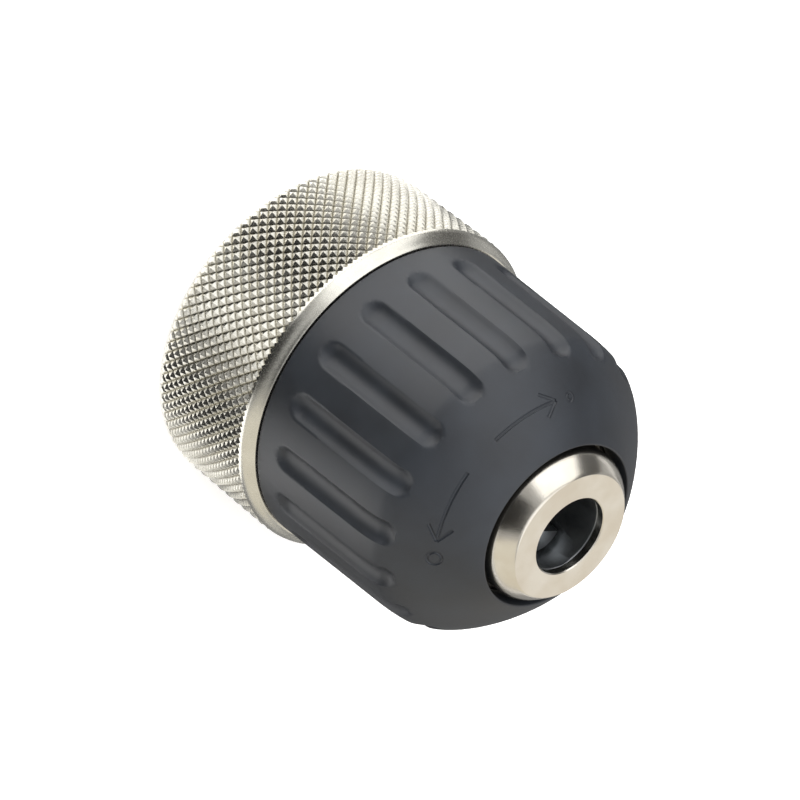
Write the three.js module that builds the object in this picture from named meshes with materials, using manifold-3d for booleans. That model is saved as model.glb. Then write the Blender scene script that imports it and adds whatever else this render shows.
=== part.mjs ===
// Keyless drill chuck, 10 mm capacity, two hand sleeves, three sliding jaws.
// Millimetres, +Z up along the chuck's axis. The origin is the centre of the hub's rear face,
// where the spindle shoulder seats, and the nose points up.
import * as THREE from 'three';
import { mergeVertices } from 'three/addons/utils/BufferGeometryUtils.js';
import Module from 'manifold-3d';

const wasm = await Module();
wasm.setup();

// Overall sizes
const overallLength = 51.4;      // hub's rear face to the nose face
const sleeveRadius = 22;         // over the knurl of the rear sleeve
const noseToFlange = 33.6;       // nose face to the body's thrust face
const noseHoleRadius = 5.05;     // a 10 mm shank slides in with 0.1 mm to spare

// Clearances
const pressGap = 0.1;            // drawn gap between pieces that are pressed together
const runGap = 0.05;             // axial play in the thrust bearing
const slideGap = 0.2;            // jaw in its guideway
const threadGap = 0.25;          // nut thread in the jaws' grooves
const freeGap = 0.3;             // moving pieces that pass each other
const playGap = 0.4;             // the turning sleeve round the bearing

// Jaws
const jawCount = 3;
const jawRadius = 3.175;
const jawLength = 33;            // along the chuck's axis
const jawAngle = THREE.MathUtils.degToRad(16);
const jawNoseGap = 0.15;         // jaws' backs inside the nose hole
const jawProud = 3.8;            // tips beyond the nose face when closed
const jawEdge = 0.2;             // chuck axis to the wedge's corner when closed
const jawLand = 0.25;            // flat on that corner
const jawTipRadius = 3;          // where the tips' blunting starts, jaws closed
const jawOpenTravel = 17.6;      // axial travel from closed to fully open
const jawRestTravel = 9;         // axial travel from closed to the rest pose
const firstJawAzimuth = 54;      // degrees

// Body
const hubRadius = 9.5;
const socketRadius = 4.25;       // tapping size of the 3/8-24 spindle thread
const socketDepth = 15;
const socketChamfer = 0.8;
const webThickness = 5;
const screwHoleRadius = 2.9;     // clearance for the spindle's retaining screw
const toolBoreStep = 0.05;       // the body's bore is this much wider than the nose hole
const flangeThickness = 5.8;
const flangeLip = 0.5;           // rim that centres the bearing
const coreGap = 0.7;             // nut's thread to the body's waist
const barrelWall = 1.25;         // outside the guideways, in front of the nut
const barrelChamfer = 0.8;
const noseWall = 0.85;           // outside the guideways, under the nosepiece

// Nosepiece
const nosePlate = 1;
const noseRadius = 10.05;
const noseFaceRadius = 8.33;
const noseBevelLength = 3;
const noseFlangeThickness = 1.8;
const noseSkirt = 8;             // nose face to the skirt's rear end

// Rear sleeve
const rearStep = 0.6;            // how far the hub stands proud of the sleeve
const rearWall = 1.6;
const rearSideWall = 2.5;
const rearChamfer = 1;            // along the axis
const rearChamferDrop = 0.65;
const rearOverlap = 0.7;         // how far it reaches past the thrust face
const bandLength = 1.5;          // smooth band in front of the knurl
const bandDrop = 1.4;

// Front sleeve
const sleeveSplit = 0.3;         // gap between the two sleeves, and between the nut's halves
const gripStep = 0.15;           // below the front edge of the rear sleeve's band
const gripWall = 2.45;
const gripTaper = 0.4;           // over the straight side
const gripTaperEnd = 4;          // from there to the shoulder
const gripShoulderDrop = 0.72;
const gripShoulderLength = 11.8; // nose face down to where the shoulder starts
const domeControls = [{ run: 0.07, rise: 0.3 }, { run: 0.7, rise: 0.83 }];
const gripRimGap = 0.7;          // round the nosepiece
const gripRimSetback = 2.2;      // nose face to the sleeve's front rim
const gripConeWall = 3.2;
const gripHollowEnd = 3;         // end of the straight bore to the shoulder
const lugRoot = 0.4;             // how far the drive lugs reach into the wall
const gripNeck = 3.5;            // length of the bore round the nosepiece
const fluteCount = 18;
const fluteRadius = 1.85;        // of the ball-ended cutter that would leave them
const fluteDepth = 1;
const fluteStart = 3.1;          // sleeve's rear edge to the cutter's rear end
const fluteEnd = 0.15;           // share of the dome's curve that the flutes run onto
const fluteAzimuth = -88;        // degrees, the first flute

// Nut and its thread
const threadPitch = 2.117;       // 12 threads per inch, along the jaw
const threadCrest = 0.5;
const threadBase = 1;
const threadDepth = 0.65;        // how far the nut's thread reaches into the jaws
const threadFoot = 0.4;          // how far the thread is rooted in the nut's wall
const nutLength = 7.6;
const nutWall = 1.57;
const nutFlangeWidth = 1.6;
const nutFlangeThickness = 1.6;
const nutPlay = 0.2;
const nutBandWidth = 3;
const slotWidth = 4.5;
const slotDepth = 2;
const slotFloorWall = 1.45;

// Thrust bearing
const raceThickness = 0.8;
const ballCount = 18;
const pocketGap = 0.15;
const cageThickness = 0.8;

// Roundness of the faceted solids
const roundSegments = 54;        // outer pieces
const innerSegments = 36;        // nut and bearing
const jawSegments = 16;
const fluteSegments = 8;
const ballSegments = 8;
const domeSteps = 5;
const bevelSteps = 4;
const overcut = 1;               // how far a cutter reaches past what it cuts
const threadSteps = 20;          // for each turn

// Jaw axes: they meet where the jaws' backs just pass the nose hole
const jawTan = Math.tan(jawAngle);
const jawCos = Math.cos(jawAngle);
const plateRear = overallLength - nosePlate;
const jawMeet = plateRear + (noseHoleRadius - jawNoseGap - jawRadius / jawCos) / jawTan;
const jawTipClosed = overallLength + jawProud;
const jawTip = jawTipClosed - jawRestTravel;
const jawAlong = new THREE.Vector3(-Math.sin(jawAngle), 0, jawCos);
const axialPitch = threadPitch * jawCos;

// Outer radii, worked inwards from the knurl
const bandEdgeRadius = sleeveRadius - bandDrop;
const rearBore = sleeveRadius - rearSideWall;
const flangeRadius = rearBore - pressGap;
const gripRadius = bandEdgeRadius - gripStep;
const gripBore = gripRadius - gripWall;
const gripRim = noseRadius + gripRimGap;

// Thrust bearing, between the jaws' backs and the front sleeve
const flangeFace = overallLength - noseToFlange;
const raceRear = flangeFace + runGap;
const raceInner = jawBackRadius(raceRear) + freeGap;
const raceOuter = gripBore - playGap;
const ballTrack = (raceInner + raceOuter) / 2;
const ballRadius = (raceOuter - raceInner) / 3;
const ballCentre = raceRear + raceThickness + runGap + ballRadius;
const washerRear = ballCentre + ballRadius + runGap;
const washerInner = jawBackRadius(washerRear) + freeGap;
const cageInner = jawBackRadius(ballCentre - cageThickness / 2) + freeGap;

// Nut, round the body's waist
const nutRear = washerRear + raceThickness + runGap;
const nutFront = nutRear + nutLength;
const nutBore = jawBackRadius(nutRear, threadGap);
const nutRadius = nutBore + nutWall;
const nutFlangeRadius = nutRadius + nutFlangeWidth;
const slotFloorRadius = jawBackRadius(nutFront - slotDepth, threadGap) + slotFloorWall;

// Body and nosepiece
const toolBoreRadius = noseHoleRadius + toolBoreStep;
const boreBottom = socketDepth + webThickness;
const barrelRear = nutFront + nutPlay;
const coreRadius = jawBackRadius(nutFront, -threadDepth) - coreGap;
const barrelRadius = jawBackRadius(barrelRear, slideGap) + barrelWall;
const skirtRear = overallLength - noseSkirt;
const shoulderZ = skirtRear - pressGap;
const noseSeatRadius = jawBackRadius(shoulderZ, slideGap) + noseWall;
const noseFlangeRadius = barrelRadius - freeGap;

// Sleeves along the axis
const rearSleeveTop = flangeFace + rearOverlap;
const rearInside = rearStep + rearWall;
const gripRear = rearSleeveTop + sleeveSplit;
const gripShoulder = overallLength - gripShoulderLength;
const gripRimZ = overallLength - gripRimSetback;
const gripNeckZ = gripRimZ - gripNeck;

const radians = THREE.MathUtils.degToRad;

// ---- Turning three.js geometry into solids and back

function signedVolume(points, indices) {
  const a = new THREE.Vector3();
  const b = new THREE.Vector3();
  const c = new THREE.Vector3();
  let volume = 0;
  for (let i = 0; i < indices.length; i += 3) {
    a.fromArray(points, indices[i] * 3);
    b.fromArray(points, indices[i + 1] * 3);
    c.fromArray(points, indices[i + 2] * 3);
    volume += a.dot(b.cross(c)) / 6;
  }
  return volume;
}

function solid(geometry) {
  const bare = geometry.clone();
  bare.deleteAttribute('normal');
  bare.deleteAttribute('uv');
  const merged = mergeVertices(bare, 1e-5);
  const points = merged.attributes.position.array;
  const all = merged.index.array;
  const kept = [];
  for (let i = 0; i < all.length; i += 3) {
    const [a, b, c] = [all[i], all[i + 1], all[i + 2]];
    if (a !== b && b !== c && c !== a) kept.push(a, b, c);
  }
  if (signedVolume(points, kept) < 0) kept.reverse();
  return new wasm.Manifold(new wasm.Mesh({
    numProp: 3,
    vertProperties: new Float32Array(points),
    triVerts: new Uint32Array(kept),
  }));
}

function geometryOf(manifold) {
  const mesh = manifold.getMesh();
  const geometry = new THREE.BufferGeometry();
  geometry.setAttribute('position', new THREE.BufferAttribute(mesh.vertProperties, 3));
  geometry.setIndex(new THREE.BufferAttribute(mesh.triVerts, 1));
  return geometry;
}

// ---- Shapes

// A closed outline of [radius, z] points turned about the chuck's axis.
function turned(outline, segments = roundSegments) {
  const points = outline.map(([r, z]) => new THREE.Vector2(r, z));
  points.push(points[0].clone());
  return solid(new THREE.LatheGeometry(points, segments).rotateX(Math.PI / 2));
}

function ring(inner, outer, bottom, top) {
  const outline = [[inner, bottom], [outer, bottom], [outer, top], [inner, top]];
  return turned(outline, innerSegments);
}

function boxBetween(low, high) {
  const size = new THREE.Vector3().subVectors(high, low);
  const middle = new THREE.Vector3().addVectors(low, high).multiplyScalar(0.5);
  return new THREE.BoxGeometry(size.x, size.y, size.z).translate(middle.x, middle.y, middle.z);
}

// Points on a quarter-ellipse from one [radius, z] point to another, bulging outwards.
function bulge(from, to, steps) {
  const points = [];
  for (let i = 0; i <= steps; i += 1) {
    const turn = (i / steps) * Math.PI / 2;
    const r = from[0] + (to[0] - from[0]) * (1 - Math.cos(turn));
    const z = from[1] + (to[1] - from[1]) * Math.sin(turn);
    points.push([r, z]);
  }
  return points;
}

// Distance from the chuck's axis to a jaw's axis, at a height.
function jawAxisRadius(z) {
  return (jawMeet - z) * jawTan;
}

// The jaw's outermost line, moved outwards by an offset square to it.
function jawBackRadius(z, offset = 0) {
  return jawAxisRadius(z) + (jawRadius + offset) / jawCos;
}

// A round bar on the jaw's axis at azimuth 0, between two heights.
function slantedBar(radius, bottom, top) {
  const length = (top - bottom) / jawCos;
  const middle = (top + bottom) / 2;
  return new THREE.CylinderGeometry(radius, radius, length, jawSegments)
    .rotateX(Math.PI / 2)
    .rotateY(-jawAngle)
    .translate(jawAxisRadius(middle), 0, middle);
}

// The nut's thread form as a straight bar, wound on the cone that the jaws' backs run on.
// grow widens and deepens it for the jaws' grooves.
function coneThread(startTurn, endTurn, middleZ, grow) {
  const half = { base: threadBase / 2 + grow, crest: threadCrest / 2 + grow };
  const foot = -threadGap - threadFoot;
  const tip = threadDepth + grow;
  const form = new THREE.Shape([
    new THREE.Vector2(-half.base, foot),
    new THREE.Vector2(half.base, foot),
    new THREE.Vector2(half.base, 0),
    new THREE.Vector2(half.crest, tip),
    new THREE.Vector2(-half.crest, tip),
    new THREE.Vector2(-half.base, 0),
  ]);
  const steps = Math.max(4, Math.round((endTurn - startTurn) * threadSteps));
  const bar = new THREE.ExtrudeGeometry(form, { depth: 1, steps, bevelEnabled: false });
  const position = bar.attributes.position;
  for (let i = 0; i < position.count; i += 1) {
    const turns = startTurn + (endTurn - startTurn) * position.getZ(i);
    const along = position.getX(i);
    const inward = position.getY(i);
    const z = middleZ + axialPitch * turns;
    const r = jawBackRadius(z) - along * Math.sin(jawAngle) - inward * jawCos;
    const height = z + along * jawCos - inward * Math.sin(jawAngle);
    const angle = turns * 2 * Math.PI;
    position.setXYZ(i, r * Math.cos(angle), r * Math.sin(angle), height);
  }
  return bar;
}

// ---- Pieces

function bodySolid() {
  const noseTop = plateRear - pressGap;
  const lipInner = raceOuter + freeGap;
  let body = turned([
    [socketRadius + socketChamfer, 0],
    [hubRadius, 0],
    [hubRadius, flangeFace - flangeThickness],
    [flangeRadius, flangeFace - flangeThickness],
    [flangeRadius, flangeFace + flangeLip],
    [lipInner, flangeFace + flangeLip],
    [lipInner, flangeFace],
    [coreRadius, flangeFace],
    [coreRadius, barrelRear],
    [barrelRadius, barrelRear],
    [barrelRadius, shoulderZ - barrelChamfer],
    [barrelRadius - barrelChamfer, shoulderZ],
    [noseSeatRadius, shoulderZ],
    [noseSeatRadius, noseTop],
    [toolBoreRadius, noseTop],
    [toolBoreRadius, boreBottom],
    [screwHoleRadius, boreBottom],
    [screwHoleRadius, socketDepth],
    [socketRadius, socketDepth],
    [socketRadius, socketChamfer],
  ]);
  for (let i = 0; i < jawCount; i += 1) {
    const guideway = slantedBar(jawRadius + slideGap, rearInside, jawMeet)
      .rotateZ(jawAzimuth(i));
    body = body.subtract(solid(guideway));
  }
  return body;
}

function rearSleeveSolid() {
  const bandRear = rearSleeveTop - bandLength;
  return turned([
    [hubRadius + pressGap, rearStep],
    [sleeveRadius - rearChamferDrop, rearStep],
    [sleeveRadius, rearStep + rearChamfer],
    ...bulge([sleeveRadius, bandRear], [bandEdgeRadius, rearSleeveTop], bevelSteps),
    [rearBore, rearSleeveTop],
    [rearBore, rearInside],
    [hubRadius + pressGap, rearInside],
  ]);
}

function nosepieceSolid() {
  const bevelRear = overallLength - noseBevelLength;
  const flangeTop = skirtRear + noseFlangeThickness;
  const seat = noseSeatRadius + pressGap;
  return turned([
    [seat, skirtRear],
    [noseFlangeRadius, skirtRear],
    [noseFlangeRadius, flangeTop],
    [noseRadius, flangeTop],
    ...bulge([noseRadius, bevelRear], [noseFaceRadius, overallLength], bevelSteps),
    [noseHoleRadius, overallLength],
    [noseHoleRadius, plateRear],
    [seat, plateRear],
  ]);
}

// The dome's outline from the shoulder to the front rim.
function domeCurve() {
  const start = new THREE.Vector2(gripRadius - gripShoulderDrop, gripShoulder);
  const end = new THREE.Vector2(gripRim, gripRimZ);
  const rise = end.y - start.y;
  const run = start.x - end.x;
  const [leave, arrive] = domeControls;
  return new THREE.CubicBezierCurve(
    start,
    new THREE.Vector2(start.x - run * leave.run, start.y + rise * leave.rise),
    new THREE.Vector2(start.x - run * arrive.run, start.y + rise * arrive.rise),
    end,
  );
}

// The moulded sleeve: slight taper, round shoulder and a domed front, hollow inside.
function gripShell() {
  const dome = domeCurve().getPoints(domeSteps).map((point) => [point.x, point.y]);
  const stepRadius = noseFlangeRadius + freeGap;
  const hollow = dome
    .map(([r, z]) => [r - gripConeWall, z])
    .filter(([r, z]) => r < gripBore && r > stepRadius && z < gripNeckZ)
    .reverse();
  return turned([
    [gripBore, gripRear],
    [gripRadius, gripRear],
    [gripRadius - gripTaper, gripShoulder - gripTaperEnd],
    ...dome,
    [gripRim, gripNeckZ],
    [stepRadius, gripNeckZ],
    ...hollow,
    [gripBore, gripShoulder - gripHollowEnd],
  ]);
}

// The centre line of a flute's cutter, as [radius, z] points: along the side, then onto the dome.
function fluteLine() {
  const lift = fluteRadius - fluteDepth;
  const dome = domeCurve();
  const foot = dome.getPoint(fluteEnd);
  const slope = dome.getTangent(fluteEnd);
  return [
    [gripRadius - gripTaper / 4 + lift, gripRear + fluteStart + fluteRadius],
    [gripRadius - gripShoulderDrop + lift, gripShoulder],
    [foot.x + slope.y * lift, foot.y - slope.x * lift],
  ];
}

// A flute's cutter: round bars along its line, with a ball at each point.
function fluteCutter(azimuth) {
  const line = fluteLine();
  const ball = new THREE.SphereGeometry(fluteRadius, fluteSegments, fluteSegments / 2)
    .rotateX(Math.PI / 2);
  const pieces = line.map(([r, z]) => ball.clone().translate(r, 0, z));
  for (let i = 1; i < line.length; i += 1) {
    const [fromR, fromZ] = line[i - 1];
    const [toR, toZ] = line[i];
    const length = Math.hypot(toR - fromR, toZ - fromZ);
    pieces.push(new THREE.CylinderGeometry(fluteRadius, fluteRadius, length, fluteSegments)
      .rotateX(Math.PI / 2)
      .rotateY(Math.atan2(toR - fromR, toZ - fromZ))
      .translate((fromR + toR) / 2, 0, (fromZ + toZ) / 2));
  }
  const [first, ...rest] = pieces.map((piece) => solid(piece.rotateZ(azimuth)));
  return rest.reduce((cutter, piece) => cutter.add(piece), first);
}

// A block across the Y axis, from one radius to another on the given side.
function sideBlock(side, halfWidth, inner, outer, bottom, top) {
  const low = new THREE.Vector3(-halfWidth, Math.min(side * inner, side * outer), bottom);
  const high = new THREE.Vector3(halfWidth, Math.max(side * inner, side * outer), top);
  return solid(boxBetween(low, high));
}

function frontSleeveSolid() {
  let sleeve = gripShell();
  const lugHalf = slotWidth / 2 - threadGap;
  const lugRear = nutFront - slotDepth + threadGap;
  const lugInner = slotFloorRadius + freeGap;
  for (const side of [1, -1]) {
    sleeve = sleeve.add(sideBlock(side, lugHalf, lugInner, gripBore + lugRoot, lugRear, gripShoulder));
  }
  for (let i = 0; i < fluteCount; i += 1) {
    const azimuth = radians(fluteAzimuth) + (i * 2 * Math.PI) / fluteCount;
    sleeve = sleeve.subtract(fluteCutter(azimuth));
  }
  return sleeve;
}

function wholeNut() {
  let nut = turned([
    [nutBore, nutRear],
    [nutFlangeRadius, nutRear],
    [nutFlangeRadius, nutRear + nutFlangeThickness],
    [nutRadius, nutRear + nutFlangeThickness],
    [nutRadius, nutFront],
    [jawBackRadius(nutFront, threadGap), nutFront],
  ], innerSegments);
  const middleZ = (nutRear + nutFront) / 2;
  const halfTurns = nutLength / axialPitch / 2 + 0.5;
  const thread = solid(coneThread(-halfTurns, halfTurns, middleZ, 0));
  nut = nut.add(thread.intersect(ring(coreRadius, nutRadius, nutRear, nutFront)));
  const slotFloor = nutFront - slotDepth;
  const slotOuter = nutRadius + overcut;
  const slotTop = nutFront + overcut;
  for (const side of [1, -1]) {
    const slot = sideBlock(side, slotWidth / 2, slotFloorRadius, slotOuter, slotFloor, slotTop);
    nut = nut.subtract(slot);
  }
  return nut;
}

// Half of the split nut, on the +X side for side 1 and the -X side for side -1.
function nutHalfSolid(whole, side) {
  const reach = nutFlangeRadius + overcut;
  const near = side * (sleeveSplit / 2);
  const far = side * reach;
  const low = new THREE.Vector3(Math.min(near, far), -reach, nutRear - overcut);
  const high = new THREE.Vector3(Math.max(near, far), reach, nutFront + overcut);
  return whole.intersect(solid(boxBetween(low, high)));
}

function nutBandSolid() {
  const bottom = nutRear + nutFlangeThickness + runGap;
  return ring(nutRadius + pressGap, nutFlangeRadius, bottom, bottom + nutBandWidth);
}

function raceSolid(inner, bottom) {
  return ring(inner, raceOuter, bottom, bottom + raceThickness);
}

function cageSolid() {
  const half = cageThickness / 2;
  let cage = ring(cageInner, raceOuter, ballCentre - half, ballCentre + half);
  for (let i = 0; i < ballCount; i += 1) {
    const radius = ballRadius + pocketGap;
    const pocket = new THREE.CylinderGeometry(radius, radius, cageThickness + overcut, ballSegments)
      .rotateX(Math.PI / 2)
      .translate(ballTrack, 0, ballCentre)
      .rotateZ(ballAzimuth(i));
    cage = cage.subtract(solid(pocket));
  }
  return cage;
}

function jawAzimuth(i) {
  return radians(firstJawAzimuth) + (i * 2 * Math.PI) / jawCount;
}

function ballAzimuth(i) {
  return (i * 2 * Math.PI) / ballCount;
}

// The wedge that a jaw's two gripping faces and its narrow land leave, at azimuth 0.
function jawWedge() {
  const corner = jawEdge + jawRestTravel * jawTan;
  const reach = 40;
  const wedge = new THREE.Shape([
    new THREE.Vector2(corner + jawLand, -jawLand * Math.sqrt(3)),
    new THREE.Vector2(corner + reach, -reach * Math.sqrt(3)),
    new THREE.Vector2(corner + reach, reach * Math.sqrt(3)),
    new THREE.Vector2(corner + jawLand, jawLand * Math.sqrt(3)),
  ]);
  const depth = jawTip;
  return solid(new THREE.ExtrudeGeometry(wedge, { depth, bevelEnabled: false }));
}

// The 45 degree cone that blunts the jaws' tips, round the chuck's axis when they are closed.
function jawTipCone() {
  const depth = 2 * jawLength;
  const cone = new THREE.CylinderGeometry(jawTipRadius, jawTipRadius + depth, depth, innerSegments)
    .rotateX(Math.PI / 2)
    .translate(jawRestTravel * jawTan, 0, jawTip - depth / 2);
  return solid(cone);
}

// Grooves for the nut's thread, from the jaw's rear end to as far as the nut ever reaches.
function jawGrooves(azimuth) {
  const turns = azimuth / (2 * Math.PI);
  const middleZ = (nutRear + nutFront) / 2 + axialPitch * turns;
  const jawRear = jawTip - jawLength;
  const lastZ = jawRear + (nutFront - (jawTipClosed - jawOpenTravel - jawLength)) + axialPitch / 2;
  const firstStep = Math.floor((jawRear - middleZ) / axialPitch);
  const lastStep = Math.floor((lastZ - middleZ) / axialPitch);
  const sector = 20 / 360;
  const form = coneThread(-sector, sector, middleZ, threadGap);
  const grooves = [];
  for (let step = firstStep; step <= lastStep; step += 1) {
    const shift = jawAlong.clone().multiplyScalar(step * threadPitch);
    grooves.push(solid(form.clone().translate(shift.x, shift.y, shift.z)));
  }
  return grooves;
}

function jawSolid(azimuth) {
  const jawRear = jawTip - jawLength;
  let jaw = solid(slantedBar(jawRadius, jawRear, jawTip + jawRadius));
  jaw = jaw.intersect(jawWedge());
  jaw = jaw.intersect(jawTipCone());
  for (const groove of jawGrooves(azimuth)) {
    jaw = jaw.subtract(groove);
  }
  return jaw;
}

// ---- Materials

function material(color, metalness, roughness) {
  return new THREE.MeshStandardMaterial({ color, metalness, roughness });
}

const finishes = {
  nickel: material(0xb9b4a8, 1, 0.28),
  brightNickel: material(0xcfc6b8, 1, 0.2),
  blackPolymer: material(0x3b3e44, 0, 0.5),
  steel: material(0x6d6f72, 1, 0.4),
  hardSteel: material(0x54575c, 1, 0.35),
  bearingSteel: material(0xb6babf, 1, 0.15),
};

// ---- The chuck

const chuck = new THREE.Group();

function place(name, manifold, finish, azimuth = 0) {
  const mesh = new THREE.Mesh(geometryOf(manifold), finish);
  mesh.name = name;
  mesh.rotation.z = azimuth;
  chuck.add(mesh);
}

place('body', bodySolid(), finishes.steel);
place('rear_sleeve', rearSleeveSolid(), finishes.nickel);
place('front_sleeve', frontSleeveSolid(), finishes.blackPolymer);
place('nosepiece', nosepieceSolid(), finishes.brightNickel);

for (let i = 0; i < jawCount; i += 1) {
  place(`jaw_${i + 1}`, jawSolid(jawAzimuth(i)), finishes.hardSteel, jawAzimuth(i));
}

const nut = wholeNut();
place('nut_half_1', nutHalfSolid(nut, 1), finishes.hardSteel);
place('nut_half_2', nutHalfSolid(nut, -1), finishes.hardSteel);
place('nut_band', nutBandSolid(), finishes.steel);
place('nut_washer', raceSolid(washerInner, washerRear), finishes.bearingSteel);
place('body_race', raceSolid(raceInner, raceRear), finishes.bearingSteel);
place('bearing_cage', cageSolid(), finishes.steel);

for (let i = 0; i < ballCount; i += 1) {
  const number = String(i + 1).padStart(2, '0');
  const azimuth = ballAzimuth(i);
  const ball = new THREE.SphereGeometry(ballRadius, ballSegments, ballSegments / 2)
    .translate(ballTrack, 0, ballCentre);
  place(`bearing_ball_${number}`, solid(ball), finishes.bearingSteel, azimuth);
}

export default chuck;
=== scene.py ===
import bpy
import math
from mathutils import Euler, Matrix, Vector


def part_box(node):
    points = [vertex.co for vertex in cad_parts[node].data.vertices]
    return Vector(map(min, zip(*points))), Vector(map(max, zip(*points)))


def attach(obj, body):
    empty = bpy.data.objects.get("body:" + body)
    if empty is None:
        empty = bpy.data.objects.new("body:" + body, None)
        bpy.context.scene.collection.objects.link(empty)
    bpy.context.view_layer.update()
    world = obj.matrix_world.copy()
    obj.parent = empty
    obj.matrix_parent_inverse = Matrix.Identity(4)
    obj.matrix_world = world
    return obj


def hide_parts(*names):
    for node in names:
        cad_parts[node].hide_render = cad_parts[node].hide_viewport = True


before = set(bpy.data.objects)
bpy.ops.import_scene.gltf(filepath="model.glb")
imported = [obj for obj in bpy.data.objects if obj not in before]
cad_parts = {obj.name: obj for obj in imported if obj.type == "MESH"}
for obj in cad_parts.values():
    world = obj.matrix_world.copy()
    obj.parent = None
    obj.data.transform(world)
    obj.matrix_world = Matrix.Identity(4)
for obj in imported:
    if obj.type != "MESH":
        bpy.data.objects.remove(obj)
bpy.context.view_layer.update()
print("frame loaded:", len(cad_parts), "nodes")

mm = 0.001


# small helpers

def clearSelection():
    if bpy.context.object and bpy.context.object.mode != "OBJECT":
        bpy.ops.object.mode_set(mode="OBJECT")
    bpy.ops.object.select_all(action="DESELECT")


def makeActive(piece):
    clearSelection()
    piece.select_set(True)
    bpy.context.view_layer.objects.active = piece


def editAll(piece):
    makeActive(piece)
    bpy.ops.object.mode_set(mode="EDIT")
    bpy.ops.mesh.select_mode(type="VERT")
    bpy.ops.mesh.select_all(action="SELECT")


def cleanMesh(piece):
    editAll(piece)
    bpy.ops.mesh.remove_doubles(threshold=0.002 * mm)
    bpy.ops.mesh.normals_make_consistent(inside=False)
    bpy.ops.object.mode_set(mode="OBJECT")


def smoothUpTo(piece, degrees):
    makeActive(piece)
    bpy.ops.object.shade_smooth_by_angle(angle=math.radians(degrees))


def span(node):
    low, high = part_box(node)
    return low.z / mm, high.z / mm, max(high.x, high.y) / mm     # bottom, top and radius in mm


def curvePoints(a, b, c, d, steps):
    points = []
    for i in range(steps + 1):
        t = i / steps
        s = 1 - t
        points.append(tuple(s**3 * a[k] + 3 * s * s * t * b[k] + 3 * s * t * t * c[k] + t**3 * d[k]
                            for k in (0, 1)))
    return points


def filletPoints(corner, start, end, steps=5):
    return curvePoints(start, tuple(0.45 * start[k] + 0.55 * corner[k] for k in (0, 1)),
                       tuple(0.45 * end[k] + 0.55 * corner[k] for k in (0, 1)), end, steps)


# draws (radius, height) points in mm one after another, then spins them round the chuck's axis;
# with no window, spin turns the other way, so its angle is negative
def turnPiece(name, outline, steps, closed=True, startAzimuth=0, sweep=360):
    clearSelection()
    bpy.ops.mesh.primitive_plane_add(size=1 * mm)
    piece = bpy.context.object
    piece.name = name
    piece.data.name = name
    bpy.ops.object.mode_set(mode="EDIT")
    bpy.ops.mesh.select_all(action="SELECT")
    bpy.ops.mesh.merge(type="CENTER")
    aim = math.radians(startAzimuth)
    here = Vector((0, 0, 0))
    for i, (r, z) in enumerate(list(outline) + [outline[0]] * closed):
        there = Vector((r * math.cos(aim), r * math.sin(aim), z)) * mm
        if i == 0:
            bpy.ops.transform.translate(value=there - here)
        else:
            bpy.ops.mesh.extrude_vertices_move(TRANSFORM_OT_translate={"value": there - here})
        here = there
    bpy.ops.mesh.select_all(action="SELECT")
    bpy.ops.mesh.remove_doubles(threshold=0.001 * mm)
    bpy.ops.mesh.spin(steps=steps, angle=-math.radians(sweep), center=(0, 0, 0), axis=(0, 0, 1))
    bpy.ops.object.mode_set(mode="OBJECT")
    cleanMesh(piece)
    return piece


def cutWith(piece, tool, operation="DIFFERENCE"):
    makeActive(piece)
    cut = piece.modifiers.new("cut", "BOOLEAN")
    cut.operation = operation
    cut.object = tool
    cut.solver = "EXACT"
    bpy.ops.object.modifier_apply(modifier="cut")
    bpy.data.objects.remove(tool, do_unlink=True)


# materials

def hexColour(text):
    channels = [int(text[i:i + 2], 16) / 255 for i in (0, 2, 4)]
    linear = [c / 12.92 if c <= 0.04045 else ((c + 0.055) / 1.055) ** 2.4 for c in channels]
    return (*linear, 1)


# settings go on inputs or properties; each link is (socket, from node, from socket)
def addNode(tree, kind, settings=None, links=()):
    node = tree.nodes.new(kind)
    for key, value in (settings or {}).items():
        if key in node.inputs:
            node.inputs[key].default_value = value
        else:
            setattr(node, key, value)
    for socket, source, output in links:
        tree.links.new(source.outputs[output], node.inputs[socket])
    return node


def newMaterial(name, shaderSettings):
    material = bpy.data.materials.new(name)
    material.use_nodes = True
    tree = material.node_tree
    shader = tree.nodes["Principled BSDF"]
    for key, value in shaderSettings.items():
        shader.inputs[key].default_value = value
    return material, tree, shader, addNode(tree, "ShaderNodeTexCoord")


def colourBetween(tree, source, output, stops):
    ramp = addNode(tree, "ShaderNodeValToRGB", links=[("Fac", source, output)])
    for element, (position, colour) in zip(ramp.color_ramp.elements, stops):
        element.position = position
        element.color = hexColour(colour)
    return ramp


def roughBetween(tree, shader, source, output, low, high):
    gloss = addNode(tree, "ShaderNodeMapRange", {"To Min": low, "To Max": high}, [("Value", source, output)])
    tree.links.new(gloss.outputs["Result"], shader.inputs["Roughness"])


def bumpFrom(tree, shader, source, output, height, strength):
    bump = addNode(tree, "ShaderNodeBump", {"Strength": strength, "Distance": height * mm},
                   [("Height", source, output)])
    tree.links.new(bump.outputs["Normal"], shader.inputs["Normal"])


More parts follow.
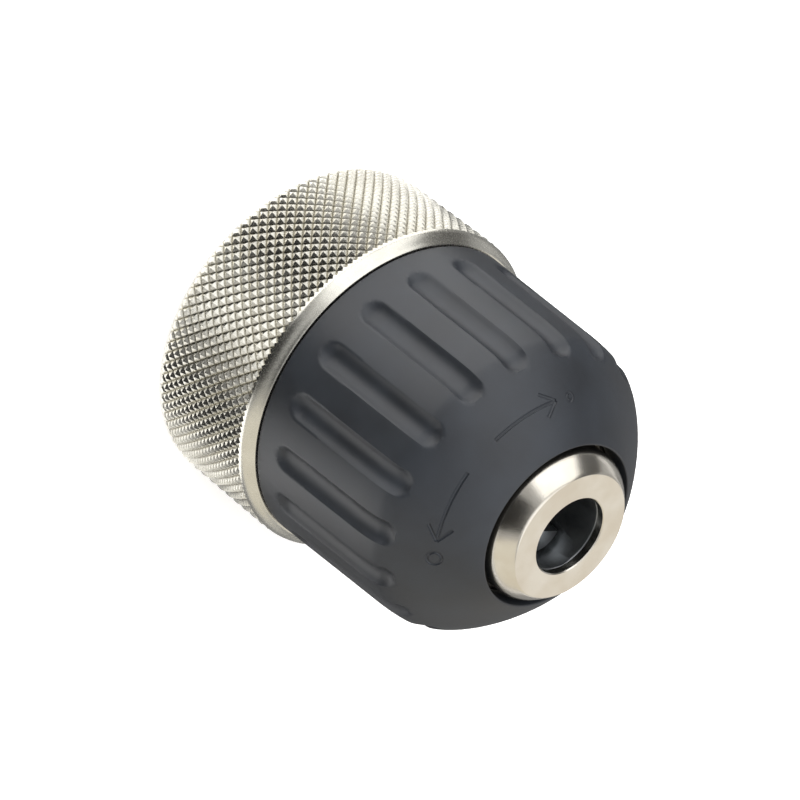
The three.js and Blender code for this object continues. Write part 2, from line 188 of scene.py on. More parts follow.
# satin nickel plate over knurled steel: warm pale grey, with painted shade darkening the roots of the knurl
def satinNickelPlate():
    material, tree, shader, place = newMaterial("satin_nickel_plate", {"Metallic": 1.0})
    grain = addNode(tree, "ShaderNodeTexNoise", {"Scale": 2600, "Detail": 4, "Roughness": 0.6},
                    [("Vector", place, "Object")])                     # plating grain, 0.4 mm
    drift = addNode(tree, "ShaderNodeTexNoise", {"Scale": 160, "Detail": 3},
                    [("Vector", place, "Object")])                     # the plate's tone drifts over 6 mm
    tone = colourBetween(tree, drift, "Fac", [(0.35, "ccc9bf"), (0.65, "dad8cf")])
    crest = addNode(tree, "ShaderNodeAttribute", {"attribute_name": "crest"})
    # painted shade: the colour darkens towards the groove roots, where the knurl's height mark falls to
    # nothing
    paintedRootShade = colourBetween(tree, crest, "Fac", [(0.0, "a39f93"), (0.3, "ffffff")])
    mixed = addNode(tree, "ShaderNodeMix", {"data_type": "RGBA", "blend_type": "MULTIPLY"})
    mixed.inputs["Factor"].default_value = 1
    tree.links.new(tone.outputs["Color"], mixed.inputs[6])
    tree.links.new(paintedRootShade.outputs["Color"], mixed.inputs[7])
    tree.links.new(mixed.outputs[2], shader.inputs["Base Color"])
    roughBetween(tree, shader, grain, "Fac", 0.2, 0.34)
    bumpFrom(tree, shader, grain, "Fac", 0.02, 0.25)
    return material


# bright nickel plate over a bead-blasted nose: warm white metal with a fine frosting
def brightNickelPlate():
    material, tree, shader, place = newMaterial("bright_nickel_plate", {"Metallic": 1.0})
    frost = addNode(tree, "ShaderNodeTexNoise", {"Scale": 3600, "Detail": 5, "Roughness": 0.65},
                    [("Vector", place, "Object")])                     # blasted grain, 0.3 mm
    drift = addNode(tree, "ShaderNodeTexNoise", {"Scale": 240, "Detail": 2}, [("Vector", place, "Object")])
    tone = colourBetween(tree, drift, "Fac", [(0.3, "d2cbbe"), (0.7, "ddd9d0")])
    tree.links.new(tone.outputs["Color"], shader.inputs["Base Color"])
    roughBetween(tree, shader, frost, "Fac", 0.14, 0.28)
    bumpFrom(tree, shader, frost, "Fac", 0.015, 0.3)
    return material


# glass-filled nylon from a spark-eroded mould: blue-black, satin, faintly mottled
def mouldedNylon():
    material, tree, shader, place = newMaterial("moulded_black_nylon", {"IOR": 1.56})
    texture = addNode(tree, "ShaderNodeTexNoise", {"Scale": 4200, "Detail": 3, "Roughness": 0.55},
                      [("Vector", place, "Object")])                   # eroded skin, 0.24 mm
    mottle = addNode(tree, "ShaderNodeTexNoise", {"Scale": 150, "Detail": 4}, [("Vector", place, "Object")])
    tone = colourBetween(tree, mottle, "Fac", [(0.35, "15181d"), (0.65, "1b1f25")])
    tree.links.new(tone.outputs["Color"], shader.inputs["Base Color"])
    roughBetween(tree, shader, mottle, "Fac", 0.44, 0.54)
    bumpFrom(tree, shader, texture, "Fac", 0.02, 0.35)
    return material


# turned or ground steel with fine feed marks round the axis
def turnedSteel(name, dark, pale, roughness):
    material, tree, shader, place = newMaterial(name, {"Metallic": 1.0})
    stretch = addNode(tree, "ShaderNodeMapping", {"Scale": (1, 1, 12)}, [("Vector", place, "Object")])
    marks = addNode(tree, "ShaderNodeTexNoise", {"Scale": 700, "Detail": 5, "Roughness": 0.6},
                    [("Vector", stretch, "Vector")])                   # feed marks, 0.12 mm apart
    stain = addNode(tree, "ShaderNodeTexNoise", {"Scale": 260, "Detail": 3}, [("Vector", place, "Object")])
    tone = colourBetween(tree, stain, "Fac", [(0.35, dark), (0.7, pale)])
    tree.links.new(tone.outputs["Color"], shader.inputs["Base Color"])
    roughBetween(tree, shader, marks, "Fac", roughness - 0.08, roughness + 0.1)
    bumpFrom(tree, shader, marks, "Fac", 0.01, 0.2)
    return material


satinNickel = satinNickelPlate()
brightNickel = brightNickelPlate()
blackNylon = mouldedNylon()
oiledSteel = turnedSteel("oiled_turned_steel", "85888b", "a3a6a8", 0.45)
blackOxide = turnedSteel("black_oxide_steel", "33363a", "494c51", 0.36)
groundSteel = turnedSteel("ground_jaw_steel", "a6aaae", "c4c7ca", 0.3)
polishedSteel = turnedSteel("polished_bearing_steel", "b4b7ba", "cdd0d2", 0.16)
print("materials made")


def finishPiece(piece, material, body, nodes):
    piece.data.materials.clear()
    piece.data.materials.append(material)
    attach(piece, body)
    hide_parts(*nodes)


# knurled rear sleeve

rearBottom, rearTop, rearRadius = span("rear_sleeve")
knurl = {
    "diamonds": 90,          # in each ring
    "pitch": 1.65,           # mm along the axis from one diamond to the next
    "depth": 0.52,
    "bluntness": 0.88,       # share of the full point that is left
    "bandLength": 1.5,       # smooth band in front of the knurl
    "bandStart": 0.2,        # mm below the crests
    "bandEdge": 1.38,
    "rearChamfer": (0.65, 1.0),      # mm lost in radius, mm along the axis
    "bore": 19.5,
    "boreEdge": 0.3,
    "hubBore": 9.6,
    "wall": 1.6,
    "corner": 0.5,
    "smoothTo": 24,          # degrees
}


# share of the knurl's depth at a point of its grid, four steps to a diamond
def knurlHeight(column, row):
    along = (column + row) % 4
    back = (row - column) % 4
    if along % 2:
        return 0.5
    return knurl["bluntness"] if along == 2 and back == 2 else 0.0


def knurledSleeve():
    crest = rearRadius
    root = crest - knurl["depth"]
    knurlTop = rearTop - knurl["bandLength"]
    rowStep = knurl["pitch"] / 4
    drop, length = knurl["rearChamfer"]
    rows = int((knurlTop - rearBottom - 0.25) / rowStep)
    rimRadius = crest - drop
    band = crest - knurl["bandEdge"]
    outline = [(knurl["hubBore"], rearBottom), (rimRadius - 0.35, rearBottom)]
    outline += [(rimRadius - 0.12, rearBottom + 0.03), (rimRadius, rearBottom + 0.12)]
    outline += [(root, knurlTop - i * rowStep) for i in range(rows, 0, -1)]
    start = crest - knurl["bandStart"]
    outline += curvePoints((start, knurlTop), (start - 0.05, knurlTop + 0.5),
                           (band + 0.35, rearTop - 0.45), (band + 0.06, rearTop - 0.05), 9)
    bore, edge, corner = knurl["bore"], knurl["boreEdge"], knurl["corner"]
    floor = rearBottom + knurl["wall"]
    outline += [(band, rearTop), (bore + edge, rearTop), (bore, rearTop - edge)]
    outline += [(bore, floor + corner), (bore - corner, floor), (knurl["hubBore"], floor)]
    sleeve = turnPiece("knurled_sleeve", outline, 4 * knurl["diamonds"])
    crestMark = sleeve.data.attributes.new("crest", "FLOAT", "POINT")
    for vertex in sleeve.data.vertices:
        radius = math.hypot(vertex.co.x, vertex.co.y) / mm
        z = vertex.co.z / mm
        crestMark.data[vertex.index].value = 1.0
        if abs(radius - root) > 0.01 or z > knurlTop - rowStep / 2:
            continue
        column = round(math.degrees(math.atan2(vertex.co.y, vertex.co.x)) * knurl["diamonds"] / 90)
        row = round((knurlTop - z) / rowStep)
        height = knurlHeight(column, row)
        chamfer = rimRadius + (z - rearBottom) * drop / length
        wanted = min(root + knurl["depth"] * height, chamfer)
        crestMark.data[vertex.index].value = height
        vertex.co.x *= wanted / radius
        vertex.co.y *= wanted / radius
    editAll(sleeve)
    bpy.ops.mesh.quads_convert_to_tris(quad_method="SHORTEST_DIAGONAL")
    bpy.ops.object.mode_set(mode="OBJECT")
    smoothUpTo(sleeve, knurl["smoothTo"])
    return sleeve


finishPiece(knurledSleeve(), satinNickel, "body", ["rear_sleeve"])
print("knurled sleeve made")


# fluted front sleeve

gripRear, gripFront, gripRadius = span("front_sleeve")
grip = {
    "columns": 720,
    "rowStep": 0.42,
    "rearFillet": 0.15,
    "rearReach": 0.15,               # closer to the rear sleeve than the turning gap, so that little shows
    "sideEnd": (0.44, 17.8),         # mm lost in radius, mm up from the rear edge
    "shoulder": (0.72, 20.8),
    "domeLeave": (1.36, 23.66),      # the dome's curve leaves the shoulder towards this point
    "domeArrive": (7.02, 28.77),     # and reaches the rim from this one
    "rimRadius": 10.75,
    "rimFillet": 0.3,
    "bore": 18.0,
    "neck": (12.05, 45.7),           # radius of the step inside, and its height
    "neckHollow": (15.9, 43.2),
    "boreTop": 36.6,
    "flutes": 18,
    "fluteAzimuth": -88,
    "cutterRadius": 2.05,
    "fluteDepth": 0.88,
    "fluteRear": 4.95,               # ball end's centre up from the rear edge
    "fluteFront": 21.75,
    "fluteSoftness": 0.05,
    "smoothTo": 35,                  # degrees
}


def gripOutline():
    sideDrop, sideUp = grip["sideEnd"]
    drop, up = grip["shoulder"]
    fillet = grip["rearFillet"]
    rear = gripRear - grip["rearReach"]
    rim = grip["rimRadius"]
    rimFillet = grip["rimFillet"]
    outline = filletPoints((gripRadius, rear), (gripRadius - fillet, rear), (gripRadius, rear + fillet))
    side = (gripRadius - sideDrop, gripRear + sideUp)
    shoulder = (gripRadius - drop, gripRear + up)
    straight = int(sideUp / grip["rowStep"])
    for i in range(1, straight):
        share = i / straight
        outline.append((gripRadius - sideDrop * share, gripRear + sideUp * share))
    outline += curvePoints(side, (side[0] - 0.03, side[1] + 1),
                           (shoulder[0] + 0.16, shoulder[1] - 1), shoulder, 8)
    leave = (gripRadius - grip["domeLeave"][0], gripRear + grip["domeLeave"][1])
    arrive = (gripRadius - grip["domeArrive"][0], gripRear + grip["domeArrive"][1])
    rimPoint = (rim + rimFillet, gripFront - rimFillet * 0.6)
    outline += curvePoints(shoulder, leave, arrive, rimPoint, 34)[1:]
    outline += filletPoints((rim + 0.05, gripFront), rimPoint, (rim, gripFront - rimFillet), 5)[1:]
    return outline


def gripInside():
    neckRadius, neckZ = grip["neck"]
    return [(grip["rimRadius"], neckZ), (neckRadius, neckZ), grip["neckHollow"],
            (grip["bore"], grip["boreTop"]), (grip["bore"], gripRear + 0.25),
            (grip["bore"] + 0.25, gripRear - grip["rearReach"])]


# depth of the ball-ended cutter below the surface, across and beyond its path
def fluteDepthAt(across, beyond):
    lift = grip["cutterRadius"] - grip["fluteDepth"]
    left = grip["cutterRadius"] ** 2 - across ** 2 - beyond ** 2
    depth = math.sqrt(max(left, 0)) - lift
    soft = grip["fluteSoftness"]
    return (depth + math.sqrt(depth * depth + soft * soft)) / 2


def flutedSleeve():
    outer = gripOutline()
    sleeve = turnPiece("fluted_sleeve", outer + gripInside(), grip["columns"])
    travelled = [0]
    for a, b in zip(outer, outer[1:]):
        travelled.append(travelled[-1] + math.dist(a, b))
    offset = travelled[6] - outer[6][1]
    flutePitch = math.tau / grip["flutes"]
    firstFlute = math.radians(grip["fluteAzimuth"])
    rowAt = {round(z, 3): i for i, (r, z) in enumerate(outer)}
    for vertex in sleeve.data.vertices:
        radius = math.hypot(vertex.co.x, vertex.co.y) / mm
        row = rowAt.get(round(vertex.co.z / mm, 3))
        if row is None or row < 5 or row > len(outer) - 8 or abs(outer[row][0] - radius) > 0.01:
            continue
        along = travelled[row] - offset - gripRear
        azimuth = math.atan2(vertex.co.y, vertex.co.x)
        turn = (azimuth - firstFlute + flutePitch / 2) % flutePitch - flutePitch / 2
        beyond = max(0, grip["fluteRear"] - along, along - grip["fluteFront"])
        depth = fluteDepthAt(radius * math.sin(turn), beyond)
        before, after = outer[row - 1], outer[row + 1]
        run = Vector((after[0] - before[0], after[1] - before[1])).normalized()
        inward = Vector((-run.y * math.cos(azimuth), -run.y * math.sin(azimuth), run.x))
        vertex.co += inward * depth * mm
    smoothUpTo(sleeve, grip["smoothTo"])
    return sleeve


# plain turning arrows engraved on the dome, one each way, and the same pair on the far side; their
# azimuths keep off the sleeve's columns, which are half a degree apart
marks = {
    "height": 45.5,          # mm above the hub's rear face
    "stroke": 0.23,          # radius of the engraver's round tip
    "depth": 0.17,
    "arrows": [(-102.2, -136.3), (-84.3, -50.2)],   # azimuths of tail and tip: closing, opening
    "barb": (1.9, 1.0),      # mm back along the arc, mm up and down the dome
    "rings": [(-144.3, 0.45), (-41.2, 0.85)],       # azimuth and radius: jaws closed, jaws open
}


# centre of the engraver's tip on the dome, and the dome's normal there
def domePoint(azimuth, up):
    z = marks["height"] + up
    outer = [point for point in gripOutline() if point[1] > gripRear + 20]
    for (r1, z1), (r2, z2) in zip(outer, outer[1:]):
        if z1 <= z <= z2:
            r = r1 + (r2 - r1) * (z - z1) / (z2 - z1) + marks["stroke"] - marks["depth"]
            run = Vector((r2 - r1, z2 - z1)).normalized()
    a = math.radians(azimuth)
    normal = Vector((run.y * math.cos(a), run.y * math.sin(a), -run.x))
    return Vector((r * math.cos(a), r * math.sin(a), z)), normal


def arcStroke(start, end):
    point, normal = domePoint(0, 0)
    stroke = marks["stroke"]
    circle = [(point.x + stroke * math.cos(i * math.pi / 5), point.z + stroke * math.sin(i * math.pi / 5))
              for i in range(10)]
    stroke = turnPiece("stroke", circle, 24, True, start, end - start)
    makeActive(stroke)
    bpy.ops.object.mode_set(mode="EDIT")
    bpy.ops.mesh.select_all(action="SELECT")
    bpy.ops.mesh.fill_holes(sides=0)
    bpy.ops.mesh.normals_make_consistent(inside=False)
    bpy.ops.object.mode_set(mode="OBJECT")
    return stroke


def straightStroke(start, end):
    clearSelection()
    along = end - start
    turn = along.to_track_quat("Z", "Y").to_euler()
    bpy.ops.mesh.primitive_cylinder_add(vertices=11, radius=marks["stroke"] * mm, depth=along.length * mm,
                                        location=(start + end) * 0.5 * mm, rotation=turn)
    stroke = bpy.context.object
    bpy.ops.object.transform_apply(location=True, rotation=True, scale=True)
    return stroke


def ringStroke(azimuth, radius):
    clearSelection()
    point, normal = domePoint(azimuth, 0)
    bpy.ops.mesh.primitive_torus_add(major_segments=28, minor_segments=10, major_radius=radius * mm,
                                     minor_radius=marks["stroke"] * mm, location=point * mm,
                                     rotation=normal.to_track_quat("Z", "Y").to_euler())
    stroke = bpy.context.object
    bpy.ops.object.transform_apply(location=True, rotation=True, scale=True)
    return stroke


# crossing strokes are cut one after the other
def engrave(sleeve):
    shafts, upperBarbs, lowerBarbs = [], [], []
    back, aside = marks["barb"]
    tipRadius = domePoint(0, 0)[0].x
    for side in (0, 180):
        for tail, tip in marks["arrows"]:
            shafts.append(arcStroke(min(tail, tip) + side, max(tail, tip) + side))
            backTurn = math.degrees(back / tipRadius) * (1 if tip > tail else -1)
            for barbs, up in ((upperBarbs, aside), (lowerBarbs, -aside)):
                barbEnd, tipPoint = domePoint(tip + side - backTurn, up)[0], domePoint(tip + side, 0)[0]
                barbs.append(straightStroke(barbEnd, tipPoint))
        for azimuth, radius in marks["rings"]:
            shafts.append(ringStroke(azimuth + side, radius))
    for strokes in (shafts, upperBarbs, lowerBarbs):
        makeActive(strokes[0])
        for stroke in strokes:
            stroke.select_set(True)
        bpy.ops.object.join()
        cutWith(sleeve, strokes[0])
    smoothUpTo(sleeve, grip["smoothTo"])


sleeve = flutedSleeve()
engrave(sleeve)
finishPiece(sleeve, blackNylon, "grip", ["front_sleeve"])
print("fluted sleeve made")


# nosepiece

noseBottom, noseTop, noseFlange = span("nosepiece")
nose = {
    "hole": 5.05,
    "face": 8.33,
    "outside": 10.05,
    "bevelLength": 3.0,
    "plate": 1.0,
    "skirtBore": 8.1,
    "flange": 1.8,
    "edge": 0.12,            # broken edge round the hole
    "smoothTo": 22,          # degrees, which leaves the face's edge crisp
}


def nosePiece():
    seat = nose["skirtBore"]
    flangeTop = noseBottom + nose["flange"]
    outside = nose["outside"]
    outline = [(seat, noseBottom), (noseFlange, noseBottom), (noseFlange, flangeTop), (outside, flangeTop)]
    outline += curvePoints((outside, noseTop - nose["bevelLength"]), (outside, noseTop - 2.1),
                           (nose["face"] + 1.12, noseTop - 1.25), (nose["face"] + 0.05, noseTop - 0.06), 14)
    outline += [(nose["face"] - 0.05, noseTop), (nose["hole"] + nose["edge"], noseTop)]
    outline += [(nose["hole"], noseTop - nose["edge"]), (nose["hole"], noseTop - nose["plate"])]
    outline += [(seat, noseTop - nose["plate"])]
    piece = turnPiece("nose_ring", outline, 192)
    smoothUpTo(piece, nose["smoothTo"])
    return piece


finishPiece(nosePiece(), brightNickel, "body", ["nosepiece"])
print("nosepiece made")


# jaws and the body that guides them

jawTip = span("jaw_1")[1]
jaw = {
    "count": 3,
    "firstAzimuth": 54,
    "angle": 16,
    "radius": 3.175,
    "length": 33,
    "meet": 55.97,           # height where the three jaw axes would cross
    "corner": 2.781,         # chuck's axis to the wedge's corner, where the jaws stand now
    "land": 0.25,
    "tipRadius": 3,          # where the cone that blunts the tip starts
    "tipOffset": 2.581,      # from the chuck's axis to the cone's
    "coneReach": 39,
    "softEdge": 0.07,
    "threadMiddle": 25.444,  # height of a thread turn at azimuth 0
    "threadPitch": 2.117,    # 12 threads per inch, along the jaw
    "threadTop": 38.9,
    "grooveHalf": (0.75, 0.5),       # half a groove's width at the jaw's back and at its floor
    "grooveDepth": 0.9,
    "overcut": 0.3,
    "smoothTo": 25,
}
jawLean = math.radians(jaw["angle"])


def aroundAxis(azimuth, radius, z):
    a = math.radians(azimuth)
    return Vector((radius * math.cos(a), radius * math.sin(a), z))


def slantedBar(name, azimuth, radius, bottom, top):
    clearSelection()
    middle = (bottom + top) / 2
    place = aroundAxis(azimuth, (jaw["meet"] - middle) * math.tan(jawLean), middle)
    length = (top - bottom) / math.cos(jawLean)
    bpy.ops.mesh.primitive_cylinder_add(vertices=64, radius=radius * mm, depth=length * mm,
                                        location=place * mm, rotation=(0, -jawLean, math.radians(azimuth)))
    bar = bpy.context.object
    bar.name = name
    bar.data.name = name
    bpy.ops.object.transform_apply(location=True, rotation=True, scale=True)
    return bar


def sliceOff(piece, point, outward):
    editAll(piece)
    bpy.ops.mesh.bisect(plane_co=point * mm, plane_no=outward, use_fill=True, clear_outer=True)
    bpy.ops.object.mode_set(mode="OBJECT")


# the nut's thread as a comb of rings on the cone that the jaws' backs form
def threadComb(azimuth):
    step = jaw["threadPitch"] * math.cos(jawLean)
    height = jaw["threadMiddle"] + step * azimuth / 360
    while height > jawTip - jaw["length"] - step:
        height -= step
    outline = []
    base, crest = jaw["grooveHalf"]
    deep, outside = jaw["grooveDepth"], -jaw["overcut"]
    form = [(-base, outside), (-base, 0), (-crest, deep), (crest, deep), (base, 0), (base, outside)]
    while height < jaw["threadTop"]:
        backRadius = (jaw["meet"] - height) * math.tan(jawLean) + jaw["radius"] / math.cos(jawLean)
        for along, inward in form:
            outline.append((backRadius - along * math.sin(jawLean) - inward * math.cos(jawLean),
                            height + along * math.cos(jawLean) - inward * math.sin(jawLean)))
        height += step
    outline += [(outline[-1][0] + 4, outline[-1][1]), (outline[0][0] + 4, outline[0][1])]
    return turnPiece("thread_comb", outline, 96)


def makeJaw(number):
    azimuth = jaw["firstAzimuth"] + 120 * number
    bottom = jawTip - jaw["length"]
    piece = slantedBar(f"gripping_jaw_{number + 1}", azimuth, jaw["radius"], bottom - 2, jawTip + 3)
    sliceOff(piece, Vector((0, 0, jawTip)), (0, 0, 1))
    sliceOff(piece, Vector((0, 0, bottom)), (0, 0, -1))
    corner = aroundAxis(azimuth, jaw["corner"], 0)
    for side in (1, -1):
        sliceOff(piece, corner, aroundAxis(azimuth + side * 150, 1, 0))
    sliceOff(piece, aroundAxis(azimuth, jaw["corner"] + jaw["land"], 0), aroundAxis(azimuth + 180, 1, 0))
    reach = jaw["coneReach"]
    cone = turnPiece("tip_cone", [(0.001, jawTip + 1), (jaw["tipRadius"] - 1, jawTip + 1),
                                  (jaw["tipRadius"] + reach, jawTip - reach), (0.001, jawTip - reach)], 96)
    editAll(cone)
    bpy.ops.transform.translate(value=aroundAxis(azimuth, jaw["tipOffset"], 0) * mm)
    bpy.ops.object.mode_set(mode="OBJECT")
    cutWith(piece, cone, "INTERSECT")
    makeActive(piece)
    soft = piece.modifiers.new("soft", "BEVEL")
    soft.width = jaw["softEdge"] * mm
    soft.segments = 2
    soft.limit_method = "ANGLE"
    soft.angle_limit = math.radians(30)
    bpy.ops.object.modifier_apply(modifier="soft")
    cutWith(piece, threadComb(azimuth))
    smoothUpTo(piece, jaw["smoothTo"])
    return piece


for number in range(jaw["count"]):
    name = f"jaw_{number + 1}"
    finishPiece(makeJaw(number), groundSteel, name, [name])
print("jaws made")


# radii, and heights above the hub's rear face
bodyBottom, bodyTop, bodyRadius = span("body")
body = {
    "hub": 9.5,
    "flangeRear": 12.0,
    "flangeFace": 17.8,      # thrust face
    "lip": 0.5,
    "lipBore": 17.9,
    "waist": 9.59,
    "barrelRear": 29.444,
    "barrel": 12.367,
    "barrelChamfer": 0.8,
    "shoulder": 43.3,
    "noseSeat": 7.994,
    "bore": 5.1,
    "boreBottom": 20,
    "screwHole": 2.9,
    "socketDepth": 15,
    "socket": 4.25,
    "socketMouth": 5.05,
    "guidewaySlack": 0.2,
    "guidewayRear": 2.2,
    "threadPitch": 1.058,    # 24 threads per inch
    "threadDepth": 0.47,
    "threadHalf": (0.49, 0.07),      # half the V's width at the socket's wall and at its root
    "edge": 0.3,
    "smallEdge": 0.15,
    "socketCorner": 0.4,
    "smoothTo": 28,
}


def chuckBody():
    edge, small = body["edge"], body["smallEdge"]
    hub, waist, barrel, bore = body["hub"], body["waist"], body["barrel"], body["bore"]
    flangeRear, flangeFace, barrelRear = body["flangeRear"], body["flangeFace"], body["barrelRear"]
    lipTop = flangeFace + body["lip"]
    shoulder, chamfer = body["shoulder"], body["barrelChamfer"]
    socket, mouth, socketTop = body["socket"], body["socketMouth"], body["socketDepth"]
    outline = [(mouth, bodyBottom), (hub - edge, bodyBottom), (hub, bodyBottom + edge)]
    outline += [(hub, flangeRear - edge), (hub + edge, flangeRear)]
    outline += [(bodyRadius - edge, flangeRear), (bodyRadius, flangeRear + edge), (bodyRadius, lipTop)]
    outline += [(body["lipBore"], lipTop), (body["lipBore"], flangeFace)]
    outline += [(waist + edge, flangeFace), (waist, flangeFace + edge), (waist, barrelRear - edge)]
    outline += [(waist + edge, barrelRear), (barrel - edge, barrelRear), (barrel, barrelRear + edge)]
    outline += [(barrel, shoulder - chamfer), (barrel - chamfer, shoulder), (body["noseSeat"], shoulder)]
    outline += [(body["noseSeat"], bodyTop), (bore + small, bodyTop), (bore, bodyTop - small)]
    outline += [(bore, body["boreBottom"] + edge), (bore - edge, body["boreBottom"])]
    outline += [(body["screwHole"], body["boreBottom"]), (body["screwHole"], socketTop)]
    outline += [(socket - body["socketCorner"], socketTop), (socket, socketTop - body["socketCorner"])]
    outline += [(socket, bodyBottom + mouth - socket)]
    piece = turnPiece("chuck_body", outline, 160)
    cutWith(piece, spindleThread())
    for number in range(jaw["count"]):
        azimuth = jaw["firstAzimuth"] + 120 * number
        radius = jaw["radius"] + body["guidewaySlack"]
        cutWith(piece, slantedBar("guideway", azimuth, radius, body["guidewayRear"], jaw["meet"]))
    smoothUpTo(piece, body["smoothTo"])
    return piece


# one coil of the thread's V, run up the socket
def spindleThread():
    inner = body["socket"] - body["smallEdge"]
    outer = body["socket"] + body["threadDepth"]
    wide, narrow = body["threadHalf"]
    form = [(inner, -wide), (inner, wide), (outer, -narrow), (outer, narrow)]
    turns = int(body["socketDepth"] / body["threadPitch"]) - 1
    clearSelection()
    bpy.ops.mesh.primitive_plane_add(size=1 * mm)
    coil = bpy.context.object
    for vertex, (r, z) in zip(coil.data.vertices, form):
        vertex.co = Vector((r, 0, z + bodyBottom)) * mm
    editAll(coil)
    bpy.ops.mesh.delete(type="ONLY_FACE")
    bpy.ops.object.mode_set(mode="OBJECT")
    screw = coil.modifiers.new("screw", "SCREW")
    screw.steps = 40
    screw.render_steps = 40
    screw.iterations = turns
    screw.screw_offset = body["threadPitch"] * mm
    bpy.ops.object.modifier_apply(modifier="screw")
    editAll(coil)
    bpy.ops.mesh.fill_holes(sides=0)
    bpy.ops.object.mode_set(mode="OBJECT")
    cleanMesh(coil)
    return coil


finishPiece(chuckBody(), oiledSteel, "body", ["body"])
print("body made")


# bearing and the nut's rings

def plainRing(name, node, inner, edge):
    low, high, outer = span(node)
    outline = [(inner, low + edge), (inner + edge, low), (outer - edge, low), (outer, low + edge),
               (outer, high - edge), (outer - edge, high), (inner + edge, high), (inner, high - edge)]
    ring = turnPiece(name, outline, 144)
    smoothUpTo(ring, 25)
    return ring


rings = {
    "edge": 0.15,
    "raceBore": 14.53,
    "washerBore": 13.69,
}
rearRace = plainRing("rear_race", "body_race", rings["raceBore"], rings["edge"])
finishPiece(rearRace, polishedSteel, "body", ["body_race"])
thrustWasher = plainRing("thrust_washer", "nut_washer", rings["washerBore"], rings["edge"])
finishPiece(thrustWasher, polishedSteel, "grip", ["nut_washer"])


def bearingBalls():
    names = sorted(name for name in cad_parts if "ball" in name)
    low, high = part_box(names[0])
    clearSelection()
    bpy.ops.mesh.primitive_uv_sphere_add(segments=32, ring_count=16, radius=(high.z - low.z) / 2)
    first = bpy.context.object
    bpy.ops.object.shade_smooth()
    for name in names:
        low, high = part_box(name)
        ball = first.copy()
        ball.data = first.data.copy()
        ball.name = name.replace("bearing", "steel")
        ball.data.name = ball.name
        bpy.context.scene.collection.objects.link(ball)
        ball.data.transform(Matrix.Translation((low + high) / 2))
        finishPiece(ball, polishedSteel, "bearing", [name])
    bpy.data.objects.remove(first, do_unlink=True)


bearingBalls()
print("bearing made")


# the nut, its band and the cage stay as they are, with a finish of their own
for name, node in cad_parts.items():
    for slot in node.material_slots:
        slot.material = blackOxide if name.startswith("nut_half") else oiledSteel
print("carried-over nodes finished")


# studio

view = {
    "place": (-0.16, -382.0, 310.2),     # mm
    "down": 37.24,                       # degrees below level
    "roll": 128.37,
    "lens": 180,
    "sensor": 36,
}


def addCamera():
    camera = bpy.data.objects.new("camera", bpy.data.cameras.new("camera"))
    bpy.context.scene.collection.objects.link(camera)
    camera.location = Vector(view["place"]) * mm
    tilt = Euler((math.radians(90 - view["down"]), 0, 0)).to_matrix()
    camera.rotation_euler = (tilt @ Matrix.Rotation(math.radians(view["roll"]), 3, "Z")).to_euler()
    camera.data.lens = view["lens"]
    camera.data.sensor_width = view["sensor"]
    camera.data.clip_start = 0.01
    bpy.context.scene.camera = camera


def addFloor():
    clearSelection()
    bpy.ops.mesh.primitive_plane_add(size=6)
    floor = bpy.context.object
    floor.name = "floor"
    material, tree, shader, place = newMaterial("white_table", {"Roughness": 0.7, "Specular IOR Level": 0.2})
    shader.inputs["Base Color"].default_value = hexColour("f4f4f4")
    shader.inputs["Emission Color"].default_value = (1, 1, 1, 1)
    shader.inputs["Emission Strength"].default_value = 0.35
    floor.data.materials.append(material)


def addSoftBox(name, azimuth, elevation, distance, size, power, colour):
    light = bpy.data.objects.new(name, bpy.data.lights.new(name, "AREA"))
    bpy.context.scene.collection.objects.link(light)
    light.data.shape = "RECTANGLE"
    light.data.size, light.data.size_y = size
    light.data.energy = power
    light.data.color = hexColour(colour)[:3]
    a, e = math.radians(azimuth), math.radians(elevation)
    aim = Vector((math.cos(a) * math.cos(e), math.sin(a) * math.cos(e), math.sin(e)))
    light.location = aim * distance + Vector((0, 0, 0.026))
    light.rotation_euler = aim.to_track_quat("Z", "Y").to_euler()
    light.visible_glossy = False


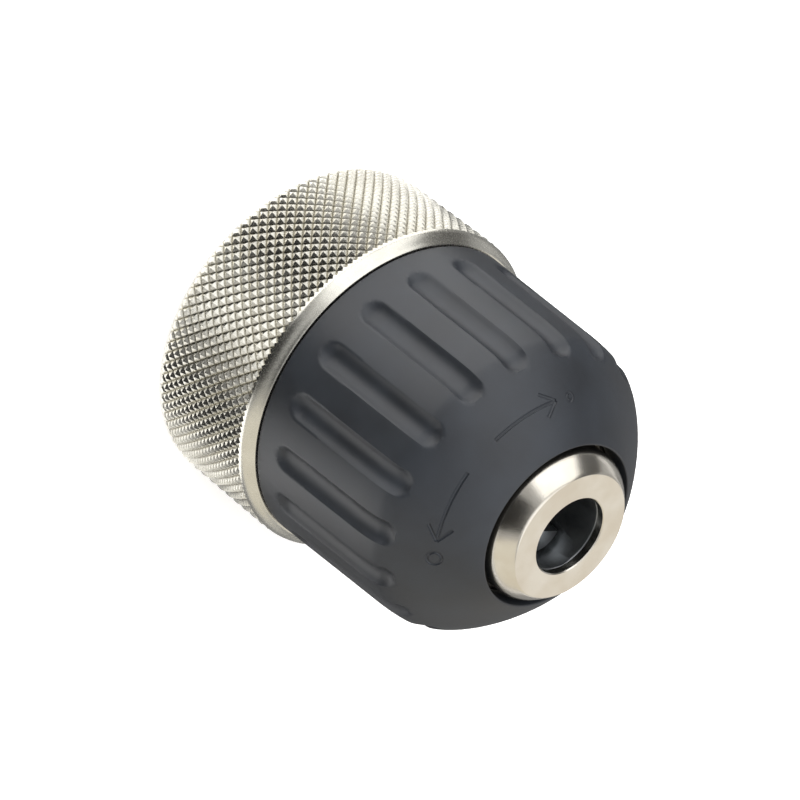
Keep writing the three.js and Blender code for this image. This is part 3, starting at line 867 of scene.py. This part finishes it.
# a card that only reflections see, wrapped round the chuck between two azimuths
def addCard(name, startAzimuth, endAzimuth, outline, strength, colour):
    steps = max(4, round((endAzimuth - startAzimuth) / 3))
    card = turnPiece(name, outline, steps, False, startAzimuth, endAzimuth - startAzimuth)
    material, tree, shader, place = newMaterial(name, {"Roughness": 1, "Specular IOR Level": 0})
    shader.inputs["Base Color"].default_value = (0, 0, 0, 1)
    shader.inputs["Emission Color"].default_value = hexColour(colour)
    shader.inputs["Emission Strength"].default_value = strength
    card.data.materials.append(material)
    card.visible_camera = False
    card.visible_diffuse = False
    card.visible_shadow = False
    card.visible_transmission = False


# two azimuths, an outline of (radius, height) in mm, strength and colour
floorCard = [(24, 1), (500, 1)]
cards = {
    "card_key": (-178, -112, [(500, 60), (420, 560)], 1.8, "ffffff"),
    "card_dark_front": (-92, -42, floorCard + [(500, 600)], 0.03, "ffffff"),
    "card_dark_side": (148, 178, [(500, 2), (500, 700)], 0.12, "ffffff"),
    "card_warm": (-30, 70, [(500, 60), (450, 520)], 1.0, "f6f0e2"),
    "card_floor_back": (0, 180, floorCard, 0.3, "ffffff"),
    "card_overhead": (0, 360, [(380, 620), (1, 760)], 1.5, "ffffff"),
    "card_back": (70, 115, [(500, 150), (420, 620)], 1.0, "fffaf2"),
}

# azimuth, elevation, watts and colour
softBoxes = {
    "key": (-126, 50, 14, "ffffff"),
    "fill": (-30, 45, 3, "fff6ea"),
}

addCamera()
addFloor()
for name, (startAzimuth, endAzimuth, outline, strength, colour) in cards.items():
    addCard(name, startAzimuth, endAzimuth, outline, strength, colour)
for name, (azimuth, elevation, power, colour) in softBoxes.items():
    addSoftBox(name, azimuth, elevation, 0.9, (0.7, 0.7), power, colour)

world = bpy.data.worlds.new("studio")
bpy.context.scene.world = world
world.use_nodes = True
sky = world.node_tree.nodes["Background"]
sky.inputs["Color"].default_value = (1, 1, 1, 1)
sky.inputs["Strength"].default_value = 0.5
bpy.context.scene.view_settings.view_transform = "Standard"
print("studio set")
